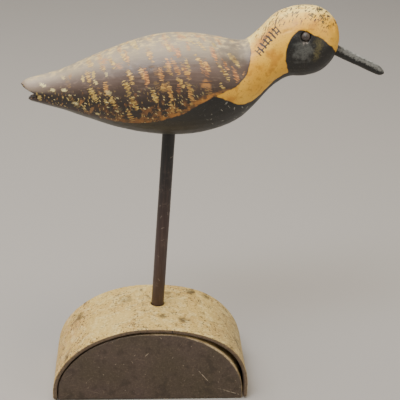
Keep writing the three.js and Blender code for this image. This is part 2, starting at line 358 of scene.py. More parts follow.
def faired(places, steps=6):
    """A smooth open line through the places."""
    points = on_the_map(places)
    padded = np.vstack([points[:1], points, points[-1:]])
    before, start, end, after = padded[:-3], padded[1:-2], padded[2:-1], padded[3:]
    line = []
    for t in np.linspace(0, 1, steps, endpoint=False):
        line.append(start + (end - before) * t / 2
                    + (2 * before - 5 * start + 4 * end - after) * t ** 2 / 2
                    + (3 * start - before - 3 * end + after) * t ** 3 / 2)
    return np.vstack([np.stack(line, 1).reshape(-1, 2), points[-1:]])


def inside_by(outline, places):
    """Distance of each place to the closed outline in mm, positive inside."""
    nearest = np.full(len(places), 1e9)
    inside = np.zeros(len(places), bool)
    for a, b in zip(outline, np.roll(outline, -1, 0)):
        run = b - a
        if not run.any():
            continue
        t = np.clip((places - a) @ run / (run @ run), 0, 1)
        nearest = np.minimum(nearest, np.hypot(*(places - a - t[:, None] * run).T))
        if run[1]:
            crosses = (a[1] > places[:, 1]) != (b[1] > places[:, 1])
            inside ^= crosses & (places[:, 0] < a[0] + (places[:, 1] - a[1]) * run[0] / run[1])
    return np.where(inside, nearest, -nearest)


map_places = np.stack([along, up], 1)
neck_edge = faired(NECK_EDGE)
above_neck = np.array([[neck_edge[0, 0], FAR_UP]])
past_forehead = np.array([[1.1 * bird_length, FAR_UP]])
past_tail = np.array([[-0.1 * bird_length, FAR_UP]])
buff_outline = np.vstack([above_neck, neck_edge, faired(BREAST_EDGE), faired(FACE_EDGE), past_forehead])
brown_outline = np.vstack([above_neck, neck_edge, faired(FLANK_EDGE), past_tail])
keep(bird_skin, "inside_buff", inside_by(buff_outline, map_places))
keep(bird_skin, "inside_brown", inside_by(brown_outline, map_places))
keep(bird_skin, "share", share)
keep(bird_skin, "lift", lift)
keep(bird_skin, "stroke_map", np.stack([along + np.where(y < 0, 0, LEFT_SIDE_SHIFT), down], 1))
keep(bird_skin, "paint_map", map_places)
print("outlines of", len(buff_outline), "and", len(brown_outline), "places")

# %% [markdown]
# On the side of the neck the painter crossed short strokes into a small hatched
# patch. It gets a map of its own that runs along the patch, so that the strokes
# can be drawn square to it.

# %% The hatched patch's map
HATCH_FROM = (73.7, 36)
HATCH_TO = (80.1, 44)
HATCH_LEAN_DEG = 26
hatch_start, hatch_end = on_the_map([HATCH_FROM, HATCH_TO])
hatch_run = (hatch_end - hatch_start) / np.linalg.norm(hatch_end - hatch_start)
hatch_half_length = np.linalg.norm(hatch_end - hatch_start) / 2
stroke_run = np.array([-math.sin(math.radians(HATCH_LEAN_DEG)), math.cos(math.radians(HATCH_LEAN_DEG))])
from_middle = map_places - (hatch_start + hatch_end) / 2
keep(bird_skin, "hatch_map", np.linalg.solve(np.stack([hatch_run, stroke_run], 1), from_middle.T).T)
print("hatched patch", round(2 * hatch_half_length, 1), "mm long")

# %% [markdown]
# Old paint is layers, so each finish is written as a ground and the coats over
# it. A coat is its colour and whatever thins it: a pattern, a zone or a number.
# A zone is a value with the range over which it comes in.

# %% Coats of paint
def thinned(tree, *masks):
    """How thickly a coat lies, from numbers, sockets, or a value with the range where it comes in."""
    cover = 1.0
    for mask in masks:
        if isinstance(mask, tuple):
            mask = add_node(tree, "MapRange", mask, interpolation_type="SMOOTHSTEP")
        cover = mask if cover == 1.0 else add_node(tree, "Math", (cover, mask), operation="MULTIPLY")
    return cover


def coats(tree, ground, *layers):
    """Lays coats over a ground, each given as its colour and the masks that thin it."""
    for colour, *masks in layers:
        ground = add_node(tree, "Mix", {0: thinned(tree, *masks), 6: ground, 7: colour}, data_type="RGBA")
    return ground


def new_finish(name):
    """An empty material, its node tree, and Object coordinates in millimetres."""
    material = bpy.data.materials.new(name)
    material.use_nodes = True
    tree = material.node_tree
    tree.nodes.clear()
    coordinates = add_node(tree, "TexCoord")
    place = add_node(tree, "VectorMath", {0: coordinates.outputs["Object"], "Scale": 1 / MM},
                     operation="SCALE")
    return material, tree, place


def finish(tree, colour, roughness, height, relief_mm, **constants):
    """The surface of a finish, with its fine height in parts of relief_mm."""
    bump = add_node(tree, "Bump", {"Strength": 1.0, "Distance": relief_mm * MM, "Height": height})
    settings = {"Base Color": colour, "Roughness": roughness, "Normal": bump}
    settings.update({name.replace("_", " "): value for name, value in constants.items()})
    shader = add_node(tree, "BsdfPrincipled", settings)
    add_node(tree, "OutputMaterial", {"Surface": shader})
    print("finish of", len(tree.nodes), "nodes")


# %% [markdown]
# Loose dabs, streaks, scratches and specks are all one idea: small ellipses
# scattered one to a cell, each turned and sized a little differently, with an
# edge that bristles have torn. A Voronoi texture gives every cell's middle and a
# random colour, which is enough to draw them without any picture. A blot is the
# same idea at one known place: it is whole at its middle, and gone where the
# distance and its raggedness add up to BLOT_GONE times its reach.

# %% Strokes and blots
BRISTLE_SLOPE_DEG = -24
SCATTER = 0.65
APART = (90, 90, 90)
SIZE_LEAST, SIZE_MOST = 0.6, 1.05
BLOT_WHOLE, BLOT_GONE, BLOT_RAGGED = 1.7, 2.8, 3


def scattered_strokes(tree, place, cell, half, lean, kept=1.0, torn=0.5, bristle=1.0, nudge=0.0):
    """Strokes over a flat map in mm: their mask, a random number for each, and the bristle lines.

    cell is the room for one stroke, half its half width and half length, lean the least and most
    turn in degrees, kept the part of the strokes that is drawn, and bristle the gap between bristles.
    """
    nudged = add_node(tree, "VectorMath", (place, (nudge, 0.7 * nudge, 0)), operation="ADD")
    gridded = add_node(tree, "VectorMath", (nudged, (1 / cell[0], 1 / cell[1], 0)), operation="MULTIPLY")
    cells = add_node(tree, "TexVoronoi", {"Vector": gridded, "Scale": 1.0, "Randomness": SCATTER},
                     voronoi_dimensions="2D")
    own = add_node(tree, "SeparateColor", {"Color": cells.outputs["Color"]})
    apart = add_node(tree, "VectorMath", (gridded, cells.outputs["Position"]), operation="SUBTRACT")
    offset = add_node(tree, "VectorMath", (apart, (*cell, 0)), operation="MULTIPLY")
    least, most = (math.radians(degrees) for degrees in lean)
    turn = add_node(tree, "MapRange", {0: own.outputs["Red"], 3: least, 4: most})
    turned = add_node(tree, "VectorRotate", {"Vector": offset, "Angle": turn}, rotation_type="Z_AXIS")
    shaped = add_node(tree, "VectorMath", (turned, (1 / half[0], 1 / half[1], 0)), operation="MULTIPLY")
    reach = add_node(tree, "VectorMath", (shaped,), operation="LENGTH").outputs["Value"]
    sloped = add_node(tree, "VectorRotate", {"Vector": turned, "Angle": math.radians(BRISTLE_SLOPE_DEG)},
                      rotation_type="Z_AXIS")
    combed = add_node(tree, "VectorMath", (sloped, (0.4 / half[0], 1 / bristle, 0)), operation="MULTIPLY")
    strewn = add_node(tree, "VectorMath", (cells.outputs["Color"], APART, combed), operation="MULTIPLY_ADD")
    bristles = add_node(tree, "TexNoise", {"Vector": strewn, "Scale": 1.0, "Detail": 2.0}).outputs["Fac"]
    fray = add_node(tree, "MapRange", (bristles, 0.3, 0.7, torn, -torn))
    frayed = add_node(tree, "Math", (reach, fray), operation="ADD")
    size = add_node(tree, "MapRange", {0: own.outputs["Green"], 3: SIZE_LEAST, 4: SIZE_MOST})
    fitted = add_node(tree, "Math", (frayed, size), operation="DIVIDE")
    chosen = add_node(tree, "Math", (own.outputs["Blue"], kept), operation="LESS_THAN")
    return thinned(tree, (fitted, 1.0, 0.7), chosen), own.outputs["Red"], bristles


def blot(tree, place, at, reach, raggedness):
    """A ragged blot around one place, with about half its cover left at three quarters of reach, in mm."""
    distance = add_node(tree, "VectorMath", (place, at), operation="DISTANCE").outputs["Value"]
    ragged = add_node(tree, "Math", (raggedness, BLOT_RAGGED * reach, distance), operation="MULTIPLY_ADD")
    return thinned(tree, (ragged, BLOT_GONE * reach, BLOT_WHOLE * reach))


# %% [markdown]
# The bird's finish is old oil paint, laid thin over sanded wood and worn to a
# satin that the overhead light turns grey along the ridge. The patterns that all
# its colours share come first: broad unevenness, a mottle of worn spots, the
# fine grain, and brush marks along the body. Buff and black are used on body and
# head alike, so each is a function too.

# %% What all the bird's paints share
HEAD_FROM = 72.5
EDGE_WANDER = 0.8
EDGE_SOFTNESS = 0.4
SMUDGE_REACH = 5.0
BUFF_SMUDGES = ((77.5, 15), (79, -2), (75.5, 45), (74, 55), (77, 52), (91, 40), (66, -8))


def spot(at):
    """A place given as share and lift, on the bird's paint map."""
    return tuple(float(v) for v in (*on_the_map([at])[0], 0))


def bird_patterns(tree, place):
    """The attributes kept on the bird's skin, and its noise patterns, by name."""
    on = {name: add_node(tree, "Attribute", attribute_name=name).outputs["Vector"]
          for name in ("stroke_map", "paint_map", "hatch_map")}
    on |= {name: add_node(tree, "Attribute", attribute_name=name).outputs["Fac"]
           for name in ("inside_buff", "inside_brown", "share", "lift")}
    lengthwise = add_node(tree, "VectorMath", (place, (1 / 16, 1 / 1.5, 1 / 1.5)), operation="MULTIPLY")
    patterns = {"broad": (place, 22, 3.0), "mottle": (place, 4, 5.0), "grain": (place, 0.9, 2.0),
                "brushed": (lengthwise, 1, 2.0)}
    for name, (where, size, detail) in patterns.items():
        noise_here = add_node(tree, "TexNoise", {"Vector": where, "Scale": 1 / size, "Detail": detail})
        on[name] = noise_here.outputs["Fac"]
    return on


def dull_black(tree, on):
    """Worn black, greyer towards the tail, partly grey paint and partly a painted reflection of the floor."""
    ground = add_node(tree, "ValToRGB", (on["mottle"],), [(0.32, "#070706"), (0.7, "#191814")])
    # The grey towards the tail is partly paint and partly a painted reflection of the floor.
    return coats(tree, ground,
                 ("#22211e", (on["share"], 60, 46, 0, 0.8)),
                 ("#5c574d", (on["share"], 40, 12, 0, 0.8)),
                 ("#5a5850", (on["grain"], 0.56, 0.74, 0, 0.5), (on["mottle"], 0.42, 0.6)))


def warm_buff(tree, on):
    """Buff, brushed on unevenly, with a painted highlight that makes it paler above, orange smudges and fine
    dirt.
    """
    ground = add_node(tree, "ValToRGB", (on["broad"],), [(0.3, "#d89c22"), (0.7, "#ecba3c")])
    smudges = [("#a95c10", blot(tree, on["paint_map"], spot(at), SMUDGE_REACH, on["mottle"]), 0.45)
               for at in BUFF_SMUDGES]
    # Paler above is a painted highlight of the light from above.
    return coats(tree, ground, *smudges,
                 ("#fde994", (on["lift"], 45, 80, 0, 0.95), (on["brushed"], 0.35, 0.6, 0.4, 1)),
                 ("#b8801a", (on["mottle"], 0.48, 0.3, 0, 0.7)),
                 ("#8f5618", (on["grain"], 0.58, 0.7, 0, 0.6), (on["mottle"], 0.46, 0.58)))


def finished_bird(tree, on, black, brown, buff, relief, gloss):
    """Joins the three fields of paint along edges that wander as a hand does.

    relief is how high the strokes stand, from 0 to 1, and gloss is the weight of the clear coat.
    """
    wander = add_node(tree, "MapRange", {0: on["mottle"], 3: -EDGE_WANDER, 4: EDGE_WANDER})
    brown_edge = add_node(tree, "Math", (on["inside_brown"], wander), operation="ADD")
    buff_edge = add_node(tree, "Math", (on["inside_buff"], wander), operation="ADD")
    colour = coats(tree, black,
                   (brown, (brown_edge, -EDGE_SOFTNESS, EDGE_SOFTNESS)),
                   (buff, (buff_edge, -EDGE_SOFTNESS, EDGE_SOFTNESS)))
    height = add_node(tree, "Math", (on["grain"], 0.5, relief), operation="MULTIPLY_ADD")
    height = add_node(tree, "Math", (on["brushed"], 0.8, height), operation="MULTIPLY_ADD")
    satin = add_node(tree, "MapRange", (on["mottle"], 0.3, 0.7, 0.44, 0.6))
    finish(tree, colour, satin, height, 0.12, Coat_Weight=gloss, Coat_Roughness=0.42)


# %% [markdown]
# The brown of the back went on first. It is duller and paler above, partly from dust settled into it and
# partly from a painted sheen of the overhead light. It is warmer and darker below, and the tail tip is pale
# grey, partly worn and partly a painted sheen.

# %% The brown of the back
body_paint, tree, place = new_finish("worn_oil_paint_on_carved_body")
on = bird_patterns(tree, place)
brown = add_node(tree, "ValToRGB", (on["broad"],), [(0.3, "#4c3b30"), (0.72, "#66544a")])
brown = coats(tree, brown,
              ("#1a120e", (on["lift"], 30, -12, 0, 0.92)),
              ("#8a7565", (on["brushed"], 0.5, 0.75, 0, 0.4), (on["lift"], -5, 20)),
              ("#86592c", (on["lift"], 4, -14), (on["mottle"], 0.46, 0.6, 0, 0.8), (on["share"], 20, 36)),
              # The pale grey-tan above is partly dust and partly painted sheen, and the pale tail tip is
              # partly wear and partly painted sheen.
              ("#aa9e84", (on["lift"], 30, 62, 0, 0.5)),
              ("#b7a691", (on["share"], 14, 2, 0, 0.45), (on["lift"], -2, 12)))
print("the brown takes", len(tree.nodes), "nodes so far")

# %% [markdown]
# The dabs went on last, with a nearly dry brush set down and dragged a little, so
# that its bristles leave combed marks, pale gold over orange. They lean back at
# the tail and more so at the shoulder, so each half of the bird has its own sets,
# and each set says its lean, its half width and half length, how far it is
# nudged, and the zones it keeps to.

# %% The dabs
ON_THE_REAR = (on["share"], 66, 44)
ON_THE_SHOULDER = (on["share"], 38, 56)
DAB_ROOM = (14.0, 14.5)
DABS = (((4, 26), (1.75, 7.0), 0.0, (ON_THE_REAR, (on["share"], 12, 26))),
        ((6, 28), (1.7, 5.2), 61.0, (ON_THE_REAR, (on["share"], 18, 30), (on["lift"], 0, 20))),
        ((18, 48), (1.85, 7.0), 23.0, (ON_THE_SHOULDER,)),
        ((20, 44), (1.7, 5.2), 87.0, (ON_THE_SHOULDER, (on["lift"], 0, 20))))
clear_zone = thinned(tree, (on["inside_brown"], 1.0, 4.0), (on["lift"], 96, 80, 0.4, 1))
dab_relief = 0.0
for lean, half, nudge, zone in DABS:
    dabs, own_number, bristles = scattered_strokes(tree, on["stroke_map"], DAB_ROOM, half, lean,
                                                   0.95, 0.6, 0.65, nudge)
    dabs = thinned(tree, dabs, clear_zone, *zone)
    ground = add_node(tree, "ValToRGB", (own_number,), [(0.2, "#9c6234"), (0.8, "#8a672b")])
    gilding = add_node(tree, "ValToRGB", (own_number,),
                       [(0.2, "#cc8f52"), (0.5, "#d2a751"), (0.9, "#cfb25e")])
    brown = coats(tree, brown,
                  (ground, dabs, (on["grain"], 0.25, 0.5, 0.35, 0.85)),
                  (gilding, dabs, (bristles, 0.48, 0.58)))
    dab_relief = add_node(tree, "Math", (dab_relief, dabs), operation="MAXIMUM")
print(len(DABS), "sets of dabs")

# %% [markdown]
# Smaller touches of the same gold fill the tail and the lower flank. Along the ridge a pale veil lies over
# the dabs, partly settled dust and partly a painted sheen of the overhead light, with a thin pale gold
# scumbled on it. Painted shade darkens the brown a little over the shoulder.

# %% The touches on tail and flank
SHOULDER_SHADE = (66, 56)
SHADE_REACH = 11.0
TAIL_ZONE = ((on["share"], 34, 22), (on["lift"], 62, 40), (on["inside_brown"], 0.5, 2.0))
FLANK_ZONE = ((on["lift"], 20, -8), (on["share"], 66, 50), (on["mottle"], 0.4, 0.52))
TOUCHES = (((7.5, 8.0), (1.3, 3.2), 11.0, TAIL_ZONE),
           ((3.6, 4.6), (0.5, 1.7), 0.0, FLANK_ZONE),
           ((2.5, 3.2), (0.36, 1.1), 31.0, FLANK_ZONE))
for cell, half, nudge, zone in TOUCHES:
    touches, own_number, _ = scattered_strokes(tree, on["stroke_map"], cell, half, (-20, 55),
                                               0.75, 0.6, 0.7, nudge)
    gilding = add_node(tree, "ValToRGB", (own_number,),
                       [(0.2, "#8f6636"), (0.45, "#c0a459"), (0.9, "#d8c98c")])
    brown = coats(tree, brown, (gilding, touches, *zone))
shade = blot(tree, on["paint_map"], spot(SHOULDER_SHADE), SHADE_REACH, on["mottle"])
# A pale veil along the ridge is partly dust and partly painted sheen, and the darker brown over the shoulder
# is painted shade.
brown = coats(tree, brown,
              ("#b4a88b", (on["lift"], 42, 76, 0, 0.25)),
              ("#e0c886", (on["lift"], 50, 84), (on["mottle"], 0.44, 0.58),
               (on["brushed"], 0.4, 0.6, 0.2, 0.8)),
              ("#33261e", shade, 0.45))
print(len(TOUCHES), "sets of touches")

# %% [markdown]
# A golden line closes the brown along the flank. It is broad and bright below the
# shoulder, and thins to a reddish trace towards the tail. Here and there are
# blobs of the same orange-buff, and the black of the breast has small scuffs.

# %% The golden flank line, blobs and scuffs
BLOBS = {(26.6, 58): 3.4, (30.9, 45): 2.6, (57.4, 15): 3.4}
share_part = add_node(tree, "Math", (on["share"], 0.01), operation="MULTIPLY")
flank_gold = add_node(tree, "ValToRGB", (share_part,), [(0.2, "#5e3622"), (0.5, "#b0762c")])
brown = coats(tree, brown,
              (flank_gold, (on["inside_brown"], 5.5, 1.0), (on["share"], 16, 46, 0.3, 1), (on["lift"], 10, 0),
               (on["brushed"], 0.38, 0.52, 0.15, 0.9), (on["mottle"], 0.36, 0.5, 0.3, 1)))
for at, reach in BLOBS.items():
    smear = blot(tree, on["paint_map"], spot(at), reach, on["mottle"])
    brown = coats(tree, brown, ("#b98244", smear, (on["brushed"], 0.4, 0.55), 0.8))
scuffs = scattered_strokes(tree, on["stroke_map"], (5.0, 4.5), (0.45, 1.3), (-40, 100), 0.5, 0.8, 0.8)[0]
black = coats(tree, dull_black(tree, on), ("#97958a", scuffs, (on["share"], 56, 62), 0.7))
finished_bird(tree, on, black, brown, warm_buff(tree, on), dab_relief, 0.2)

# %% [markdown]
# The head gets a material of its own, because with the patterns of body and head in one shader the whole bird
# came out black. Its black face has a painted grey sheen in the middle, an olive scuff by the bill, painted
# shade that makes it deepest around the eye, and painted highlights on the lower rim around the eye.

# %% The face
GREY_FACE_SHEEN = (87.6, -5)
EYE_SHADE_AT = (88.0, 19)
OLIVE_SCUFF = ((91.8, 8), (92.4, 0), (92.4, -9), (91.6, -17))
RIM_HIGHLIGHTS_AT = ((89.3, 14), (88.6, 9.5), (87.7, 8))
head_paint, tree, place = new_finish("worn_oil_paint_on_carved_head")
on = bird_patterns(tree, place)
# A painted grey sheen on the face, and painted shade around the eye.
face_sheen = blot(tree, on["paint_map"], spot(GREY_FACE_SHEEN), 7.0, on["mottle"])
eye_shade = blot(tree, on["paint_map"], spot(EYE_SHADE_AT), 3.6, on["mottle"])
olive = [("#625a34", blot(tree, on["paint_map"], spot(at), 3.0, on["mottle"]), (on["grain"], 0.3, 0.5), 0.45)
         for at in OLIVE_SCUFF]
# Pale dabs on the lower rim around the eye are painted highlights.
rim = [("#8f867c", blot(tree, on["paint_map"], spot(at), 1.0, on["grain"]), 0.7) for at in RIM_HIGHLIGHTS_AT]
black = coats(tree, dull_black(tree, on),
              ("#585954", face_sheen, (on["grain"], 0.2, 0.55, 0.3, 1), 0.8),
              ("#141313", eye_shade, 0.8), *olive, *rim)
print(len(olive), "dabs of olive,", len(rim), "of rubbed rim")

# %% [markdown]
# Short dark streaks are touched onto crown and nape, leaning forward. They come
# in loose clusters, thickest and greenish over the forehead.

# %% Streaks on the crown
FOREHEAD_CLUSTER = (94.0, 50)
STREAKS = (((3.0, 3.8), (0.5, 1.9), (-50, -16), 0.75, 0.3, 1.0, 0.0),
           ((5.6, 6.4), (0.6, 3.0), (-44, -10), 0.7, 0.3, 1.0, 43.0),
           ((7.0, 7.0), (1.5, 2.5), (-45, -5), 0.55, 1.2, 0.6, 17.0),
           ((1.4, 3.0), (0.42, 1.7), (-40, -15), 1.0, 0.3, 0.8, 7.0))
streaks, long_streaks, clusters, forehead_lines = (
    scattered_strokes(tree, on["stroke_map"], *recipe)[0] for recipe in STREAKS)
forehead_blot = blot(tree, on["paint_map"], spot(FOREHEAD_CLUSTER), 7.5, on["mottle"])
crown_zone = thinned(tree, (on["lift"], 34, 50), (on["share"], HEAD_FROM, 75))
buff = coats(tree, warm_buff(tree, on),
             ("#3a2e26", streaks, crown_zone, 0.95),
             ("#43343a", long_streaks, crown_zone, 0.9),
             ("#3d3c30", clusters, crown_zone, (on["share"], 78, 86), 0.9),
             ("#2f322b", forehead_lines, forehead_blot))
print(len(STREAKS), "sets of streaks")

# %% [markdown]
# The hatched patch is drawn with a fine brush: a row of long strokes, and shorter
# ones across them. Two wave textures rule the lines, distorted so that they
# waver, and the patch fades out unevenly at its edge.

# %% The hatched patch
WAVE_PER_MM = 0.314
LINE_GAP = 1.9
RUNG_GAP = 3.6
HATCH_HALF_HEIGHT = 4.6
hatch_axes = add_node(tree, "SeparateXYZ", {"Vector": on["hatch_map"]})
beyond_end = add_node(tree, "Math", (hatch_axes.outputs["X"],), operation="ABSOLUTE")
off_centre = add_node(tree, "Math", (hatch_axes.outputs["Y"],), operation="ABSOLUTE")
uneven_end = add_node(tree, "Math", (on["mottle"], 5.0, off_centre), operation="MULTIPLY_ADD")
line_recipe = {"Vector": on["hatch_map"], "Scale": WAVE_PER_MM / LINE_GAP, "Distortion": 1.4,
               "Detail Scale": 1.4}
rung_recipe = {"Vector": on["hatch_map"], "Scale": WAVE_PER_MM / RUNG_GAP, "Distortion": 5.0,
               "Detail Scale": 1.2}
lines = add_node(tree, "TexWave", line_recipe, bands_direction="X").outputs["Fac"]
rungs = add_node(tree, "TexWave", rung_recipe, bands_direction="Y").outputs["Fac"]
in_patch = thinned(tree, (beyond_end, hatch_half_length, hatch_half_length - 0.6),
                   (uneven_end, 2.8 + HATCH_HALF_HEIGHT, 2.2 + HATCH_HALF_HEIGHT))
buff = coats(tree, buff,
             ("#2b1e14", (lines, 0.56, 0.76), in_patch),
             ("#35271b", (rungs, 0.68, 0.82), in_patch, (on["mottle"], 0.44, 0.5)))
finished_bird(tree, on, black, "#4c3b30", buff, 0.0, 0.05)

# %% [markdown]
# Both materials go onto the one skin. A square gets the head's where its middle
# lies past HEAD_FROM on the bird's map. Body and head share the functions for buff
# and black, so their colours run on across that border.

# %% Painting the bird
bird_skin.materials.append(body_paint)
bird_skin.materials.append(head_paint)
for face in bird_skin.polygons:
    face.material_index = int((face.center.x / MM - tail_x) / bird_length * 100 > HEAD_FROM)
print(sum(face.material_index for face in bird_skin.polygons), "squares in the head's paint")

# %% [markdown]
# The bill is a whittled peg, pushed into the head and painted black. The knife
# left long flats on it, and a slanting cut that thins its upper half towards the
# tip. Two places on the line through the peg's middle say where that half begins.

# %% Bill
BILL_AXIS = ((130.0, 259.1), (158.0, 246.0))
TIP_CUT_FROM = 154.5
TIP_CUT_OVER = 8.0
TIP_CUT_RISE = 3.0
TIP_CUT = 1.2
FULLER = 0.25
bill = welded_copy("bill", "whittled_bill")
bill_skin = reskin(bill)


def tip_cut(place):
    """How deep the slanting cut goes at this place, in mm."""
    (x0, z0), (x1, z1) = BILL_AXIS
    over_axis = place.z - z0 - (place.x - x0) * (z1 - z0) / (x1 - x0)
    share_of_cut = min(max((place.x - TIP_CUT_FROM) / TIP_CUT_OVER, 0.0), 1.0)
    return TIP_CUT * share_of_cut ** 2 * min(max(over_axis / TIP_CUT_RISE + 0.1, 0.0), 1.0)


def whittled(place):
    """Long flats left by the knife, a few nicks and the cut, on a slightly fuller peg, in mm."""
    flats = noise.noise(Vector((place.x / 20, place.y / 2.6, place.z / 2.6))) * 0.14
    nicks = max(0.0, noise.noise(place / 1.7) - 0.5) * 0.5
    return flats - nicks + FULLER - tip_cut(place)


relieve(bill_skin, whittled)
keep(bill_skin, "upward", corner_values(bill_skin, "normal")[:, 2])

# %% [markdown]
# The side that faces up is pale grey, partly black worn to grey and partly a painted highlight of the light
# above. It has a ragged edge along the middle, and the palest line on top is a painted highlight. Below it is
# still near black. How far the skin faces up is kept as an attribute, which the shader reads.

# %% Bill paint
bill_paint, tree, place = new_finish("worn_black_paint_on_whittled_peg")
wear = add_node(tree, "TexNoise", {"Vector": place, "Scale": 1 / 1.6, "Detail": 5.0,
                                   "Roughness": 0.7}).outputs["Fac"]
colour = add_node(tree, "ValToRGB", (wear,), [(0.3, "#070806"), (0.52, "#131412"), (0.68, "#33342f")])
upward = add_node(tree, "Attribute", attribute_name="upward").outputs["Fac"]
ragged = add_node(tree, "Math", (wear, 1.3, upward), operation="MULTIPLY_ADD")
along_bill = add_node(tree, "SeparateXYZ", {"Vector": place}).outputs["X"]
# Pale grey above is partly wear and partly a painted highlight, and the palest line on top is a painted
# highlight.
colour = coats(tree, colour,
               ("#72736e", (ragged, 0.64, 0.9), (wear, 0.34, 0.6, 0.3, 1),
                (along_bill, 128, 136, 0.5, 0.8)),
               ("#bdbeb8", (upward, 0.7, 0.9), (wear, 0.34, 0.6, 0.3, 1),
                (along_bill, 130, 134, 0.2, 0.6)))
satin = add_node(tree, "MapRange", (wear, 0.3, 0.7, 0.36, 0.55))
finish(tree, colour, satin, wear, 0.1)
bill_skin.materials.append(bill_paint)

# %% [markdown]
# The eyes are small round beads, set so deep in the wood that only a low cap of
# each stands out. A bead is smooth, so subdivision is enough to round its facets.
# Its glass is dull and a little cloudy.

# %% Eyes
bead, tree, place = new_finish("dark_glass_bead")
clouds = add_node(tree, "TexNoise", {"Vector": place, "Scale": 1 / 2.5}).outputs["Fac"]
colour = add_node(tree, "ValToRGB", (clouds,), [(0.35, "#2e2924"), (0.7, "#5a514d")])
finish(tree, colour, 0.42, clouds, 0.02)
EYE_ROUNDING_LEVELS = 2
for side in ("left", "right"):
    eye = welded_copy(f"eye_{side}", f"bead_eye_{side}")
    rounding = eye.modifiers.new("rounding", "SUBSURF")
    rounding.levels = EYE_ROUNDING_LEVELS
    rounding.render_levels = EYE_ROUNDING_LEVELS
    eye.data.polygons.foreach_set("use_smooth", [True] * len(eye.data.polygons))
    eye.data.materials.append(bead)
    print(eye.name, "of", len(eye.data.polygons), "facets, rounded", EYE_ROUNDING_LEVELS, "times")

# %% [markdown]
# The rod is a turned dowel, stained dark and browner lower down, with pale scuffs. Towards the top it is
# nearly black, partly the stain and partly painted shade under the bird. Its fibres run along it, so that
# noise is stretched in height.

# %% Rod
rod = welded_copy("support_rod", "stained_dowel")
rod_skin = reskin(rod)


def turned(place):
    """The dowel's slight flats and dents, in mm."""
    return noise.noise(Vector((place.x / 5, place.y / 5, place.z / 30))) * 0.1 - 0.02


relieve(rod_skin, turned)
rod_stain, tree, place = new_finish("dark_stain_on_birch_dowel")
lengthwise = add_node(tree, "VectorMath", (place, (1 / 1.1, 1 / 1.1, 1 / 18)), operation="MULTIPLY")
fibres = add_node(tree, "TexNoise", {"Vector": lengthwise, "Scale": 1.0, "Detail": 4.0}).outputs["Fac"]
patches = add_node(tree, "TexNoise", {"Vector": place, "Scale": 1 / 9, "Detail": 4.0}).outputs["Fac"]
fine = add_node(tree, "TexNoise", {"Vector": place, "Scale": 1 / 1.2, "Detail": 4.0,
                                   "Roughness": 0.7}).outputs["Fac"]
axes = add_node(tree, "SeparateXYZ", {"Vector": place})
rod_map = add_node(tree, "CombineXYZ", {"X": axes.outputs["X"], "Y": axes.outputs["Z"]})
scuffs = scattered_strokes(tree, rod_map, (6.0, 11.0), (0.4, 1.2), (-50, 90), 0.35, 0.8, 0.8)[0]
# Near black at the top is partly painted shade under the bird's belly.
stain = coats(tree, "#0e0f11",
              ("#3a2a25", (axes.outputs["Z"], 185, 110)),
              ("#524039", (fibres, 0.46, 0.72, 0, 0.5), (axes.outputs["Z"], 200, 130, 0.3, 1)),
              ("#6b5a50", (patches, 0.55, 0.7, 0, 0.4), (fine, 0.45, 0.6)),
              ("#8f8175", scuffs, 0.4))
finish(tree, stain, 0.42, fibres, 0.08)
rod_skin.materials.append(rod_stain)

# %% [markdown]
# The block is sawn from a board. Its faces are stained dark brown. Its sawn edge is bare olive-brown wood,
# painted pale towards the right as painted light where it shows in the gap under the strip, and dark to the
# left. The arris between them has a painted highlight where the strip stands off. Faint waves of the saw and
# small dents are real relief.

# %% Block
block = welded_copy("base_block", "half_oval_block")
block_skin = reskin(block)


def sawn(place):
    """Faint saw waves and dents, in mm."""
    waves = noise.noise(Vector((place.x / 26, place.y / 8, place.z / 9))) * 0.1
    dents = max(0.0, noise.noise(place / 3.2) - 0.5) * 0.7
    return waves - dents - 0.03


relieve(block_skin, sawn)
keep(block_skin, "facing", np.abs(corner_values(block_skin, "normal")[:, 1]))

# %% [markdown]
# The stain took unevenly, redder in some patches and more olive in others. Nicks
# and hairlines are strewn over the front alone, so the hidden back stays plainer.
# Two long scratches run down to the right corner, and a short one is near the top.

# %% Block stain
SCRATCHES = (((34.3, 26.3), (44.1, 14.0)), ((49.4, 9.5), (70.6, 2.2)), ((-4.0, 37.4), (-1.2, 40.2)))
SCRATCH_WIDTH = 0.24
block_stain, tree, place = new_finish("dark_stain_on_sawn_pine")
facing = add_node(tree, "Attribute", attribute_name="facing").outputs["Fac"]
broad = add_node(tree, "TexNoise", {"Vector": place, "Scale": 1 / 30, "Detail": 4.0}).outputs["Fac"]
patches = add_node(tree, "TexNoise", {"Vector": place, "Scale": 1 / 6, "Detail": 5.0}).outputs["Fac"]
fine = add_node(tree, "TexNoise", {"Vector": place, "Scale": 1 / 1.4, "Detail": 5.0,
                                   "Roughness": 0.7}).outputs["Fac"]
axes = add_node(tree, "SeparateXYZ", {"Vector": place})
face_map = add_node(tree, "CombineXYZ", {"X": axes.outputs["X"], "Y": axes.outputs["Z"]})
front = (axes.outputs["Y"], 5, -5)
nicks = scattered_strokes(tree, face_map, (7.0, 7.0), (0.3, 0.7), (-60, 110), 0.25, 0.8, 0.8)[0]
hairlines = scattered_strokes(tree, face_map, (17.0, 15.0), (0.16, 5.0), (-20, 110), 0.4, 0.7, 1.5)[0]
stain = add_node(tree, "ValToRGB", (broad,), [(0.35, "#4f4138"), (0.65, "#463c2d")])
stain = coats(tree, stain,
              ("#6e5c49", (fine, 0.5, 0.7, 0, 0.55)),
              ("#33271f", (fine, 0.46, 0.3, 0, 0.6)),
              ("#2f241d", (patches, 0.52, 0.68, 0, 0.5)),
              ("#a3947d", nicks, front, 0.6),
              ("#8d7d67", hairlines, front, 0.4))
